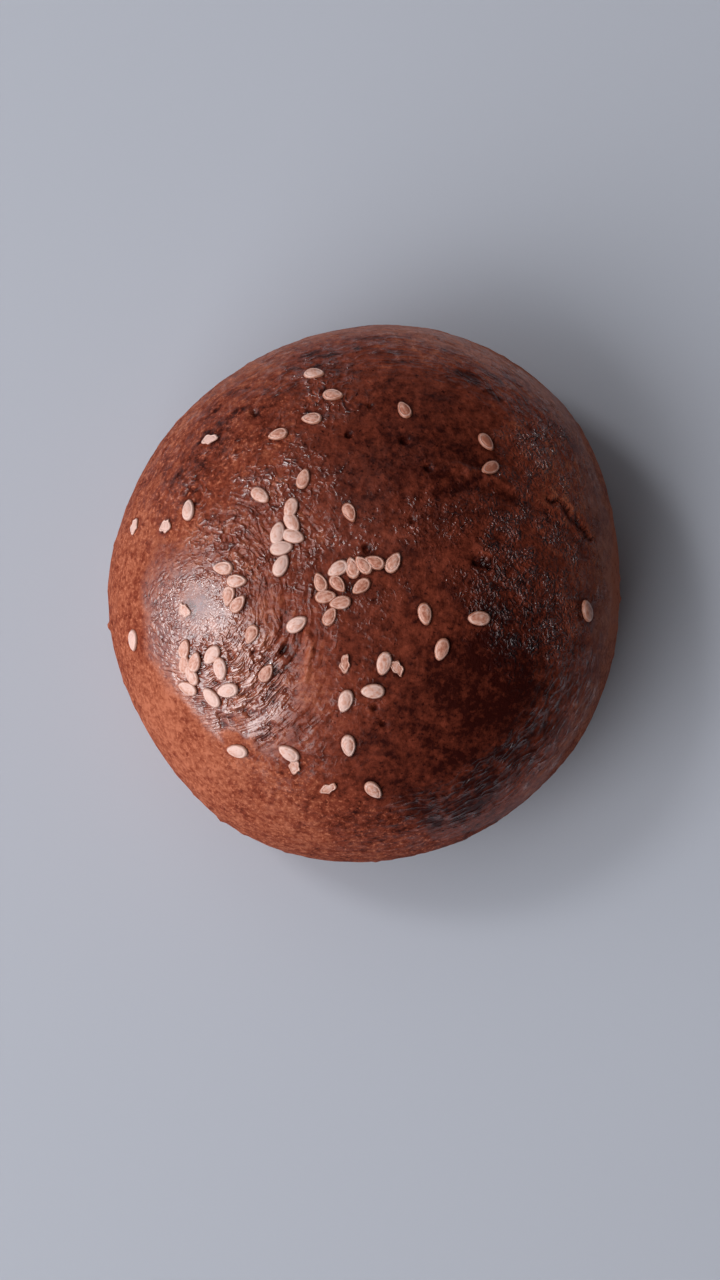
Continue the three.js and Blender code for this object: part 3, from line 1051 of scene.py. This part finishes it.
def crust_colour(tree, places, bare, grain, sunk):
    """Reddish brown and speckled, with painted shade darkening the valleys of the wrinkles"""
    mottle = spread_noise(tree, noise_node(tree, places, *MOTTLE_NOISE), MOTTLE_BROWNINGS)
    clouds = spread_noise(tree, noise_node(tree, places, *CLOUD_NOISE), CLOUD_BROWNINGS)
    specks = noise_node(tree, places, *SPECK_NOISE)
    dark = math_node(tree, "ADD", attribute(tree, "brown"), mottle)
    dark = math_node(tree, "ADD", dark, clouds)
    # paler specks on the bare crust, partly painted glints
    pale_specks_and_glints = math_node(tree, "MULTIPLY", map_range(tree, specks, *PALE_SPECKS_AND_GLINTS), bare)
    dark = math_node(tree, "SUBTRACT", dark, pale_specks_and_glints)
    dark_specks = map_range(tree, specks, *DARK_SPECKS)
    dark = add_scaled(tree, dark, dark_specks, between(tree, bare, SPECK_CONTRASTS))
    grain = math_node(tree, "SUBTRACT", grain, NOISE_MIDDLE)
    dark = add_scaled(tree, dark, grain, between(tree, bare, GRAIN_CONTRASTS))
    # painted shade in the valleys of the wrinkles
    dark = add_scaled(tree, dark, sunk, VALLEY_PAINTED_SHADE)
    return colour_ramp(tree, dark, CRUST_COLOURS)


def crust_material():
    material, tree, shader = new_material("crust")
    places = millimetre_places(tree)
    bare = attribute(tree, "bare")
    grain = noise_node(tree, places, *GRAIN_NOISE)
    sunk, height, shine = wrinkle_nets(tree, places)
    tree.links.new(crust_colour(tree, places, bare, grain, sunk), shader.inputs["Base Color"])
    tree.links.new(between(tree, bare, CRUST_ROUGHNESSES), shader.inputs["Roughness"])
    washed = math_node(tree, "MULTIPLY", attribute(tree, "gloss"), between(tree, sunk, (1, SUNK_GLOSS)))
    tree.links.new(math_node(tree, "MAXIMUM", washed, shine), shader.inputs["Coat Weight"])
    shader.inputs["Coat Roughness"].default_value = COAT_ROUGHNESS
    shader.inputs["Coat IOR"].default_value = COAT_IOR
    shader.inputs["Specular IOR Level"].default_value = SPECULAR_LEVEL
    film = add_scaled(tree, height, grain, FILM_GRAIN)
    tree.links.new(bump_node(tree, film, CRUST_BUMP_DEPTH), shader.inputs["Coat Normal"])
    under = add_scaled(tree, film, grain, CRUST_GRAIN)
    tree.links.new(bump_node(tree, under, CRUST_BUMP_DEPTH), shader.inputs["Normal"])
    return material


def seed_material():
    material, tree, shader = new_material("sesame")
    streaks = noise_node(tree, attribute(tree, "streak", "Vector"), *SEED_STREAK_NOISE)
    streak_tint = spread_noise(tree, streaks, SEED_STREAK_TINTS)
    tint = math_node(tree, "ADD", attribute(tree, "tint"), streak_tint)
    way = attribute(tree, "way")
    rim = colour_ramp(tree, way, [(place, (share,) * 3) for place, share in SEED_RIM_SHARES])
    # painted shade on the seed's curved sides, towards its edge
    edge = map_range(tree, way, *SEED_SIDE_SHADE_SHARES)
    rimmed = mix_colours(tree, rim, colour_ramp(tree, tint, SEED_COLOURS), SEED_RIM_COLOUR)
    tree.links.new(mix_colours(tree, edge, rimmed, SEED_SIDE_SHADE_COLOUR), shader.inputs["Base Color"])
    tree.links.new(spread_noise(tree, streaks, SEED_ROUGHNESSES), shader.inputs["Roughness"])
    tree.links.new(bump_node(tree, streaks, SEED_BUMP_DEPTH), shader.inputs["Normal"])
    return material


def make_floor():
    bpy.ops.mesh.primitive_plane_add(size=FLOOR_SIZE, location=(0, 0, -FLOOR_GAP * MM))
    floor = bpy.context.object
    floor.name = "floor"
    material, _, shader = new_material("floor")
    shader.inputs["Base Color"].default_value = FLOOR_COLOUR
    shader.inputs["Roughness"].default_value = FLOOR_ROUGHNESS
    floor.data.materials.append(material)


def make_camera():
    data = bpy.data.cameras.new("camera")
    data.lens = CAMERA_LENS
    camera = bpy.data.objects.new("camera", data)
    tilt = math.radians(90 - CAMERA_ELEVATION)
    back = Vector((0, -math.sin(tilt), math.cos(tilt)))
    camera.location = (Vector(CAMERA_AIM) + back * CAMERA_DISTANCE) * MM
    camera.rotation_euler = (tilt, 0, 0)
    bpy.context.scene.collection.objects.link(camera)
    bpy.context.scene.camera = camera


def make_light(name, colour, azimuth, elevation, size, power, mirrored):
    """A square light turned towards the loaf"""
    data = bpy.data.lights.new(name, "AREA")
    data.size = size
    data.energy = power
    data.color = colour
    light = bpy.data.objects.new(name, data)
    azimuth = math.radians(azimuth)
    elevation = math.radians(elevation)
    towards = Vector((
        math.cos(elevation) * math.cos(azimuth),
        math.cos(elevation) * math.sin(azimuth),
        math.sin(elevation),
    ))
    light.location = towards * LIGHT_DISTANCE
    light.rotation_euler = towards.to_track_quat("Z", "Y").to_euler()
    light.visible_glossy = mirrored
    bpy.context.scene.collection.objects.link(light)


def make_room():
    """Surroundings that are darker overhead than round the horizon, and darker away from the window"""
    world = bpy.data.worlds.new("room")
    bpy.context.scene.world = world
    world.use_nodes = True
    tree = world.node_tree
    places = add_node(tree, "ShaderNodeTexCoord").outputs["Generated"]
    direction = add_node(tree, "ShaderNodeSeparateXYZ", {0: places}).outputs
    shades = [(height, tuple(bright * tint for tint in ROOM_TINT)) for height, bright in ROOM_SHADES]
    background = tree.nodes["Background"]
    tree.links.new(colour_ramp(tree, direction["Z"], shades), background.inputs["Color"])
    tree.links.new(map_range(tree, direction["X"], *ROOM_STRENGTHS), background.inputs["Strength"])
    bpy.context.scene.view_settings.view_transform = "Standard"


def finish_piece(mesh, points, material):
    set_places(mesh, points)
    mesh.polygons.foreach_set("use_smooth", [True] * len(mesh.polygons))
    mesh.materials.append(material)
    piece = bpy.data.objects.new(mesh.name, mesh)
    bpy.context.scene.collection.objects.link(piece)
    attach(piece, "root")
    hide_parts("loaf")


make_camera()
for light_row in LIGHTS:
    make_light(*light_row)
make_room()
make_floor()
crust_mesh, crust_points = make_crust()
seed_mesh, seed_points = make_seeds()
all_points = np.concatenate((crust_points, seed_points))
finish_piece(crust_mesh, onto_frame(crust_points, all_points), crust_material())
finish_piece(seed_mesh, onto_frame(seed_points, all_points), seed_material())
